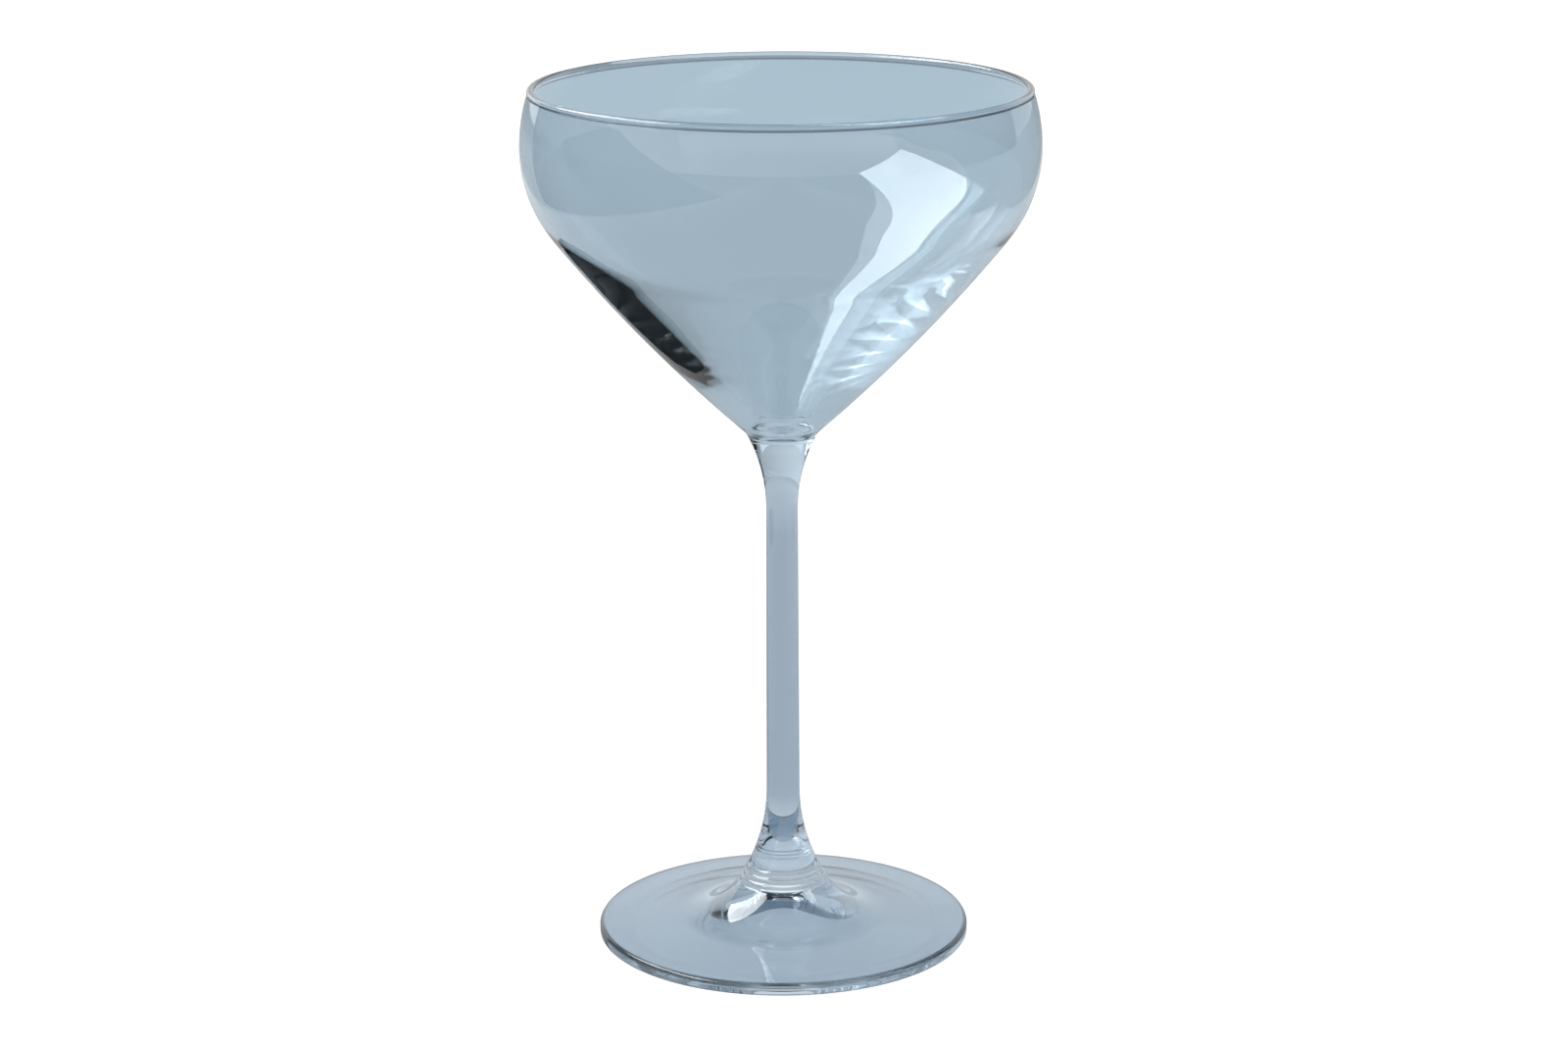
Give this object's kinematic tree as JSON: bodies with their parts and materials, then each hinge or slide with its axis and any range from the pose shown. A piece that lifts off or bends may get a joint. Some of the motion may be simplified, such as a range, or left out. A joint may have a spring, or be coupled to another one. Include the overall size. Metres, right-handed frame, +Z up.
{
  "type": "coupe glass",
  "caption": "Stemmed coupe glass with a wide round-shouldered bowl tapering to a slim flared stem on a flat round foot, for serving cocktails or sparkling wine.",
  "frame": {"origin": "on the table plane under the middle of the foot", "axes": "+Z up along the glass's axis of revolution, from the foot to the rim; X and Y are any two directions across it"},
  "size_m": [0.1024, 0.1024, 0.175],
  "materials": {
    "glass": "clear, fire-polished soda-lime glass with a faint blue-grey cast"
  },
  "bodies": {
    "root": {"bowl": "glass", "stem": "glass", "foot": "glass"}
  },
  "joints": []
}
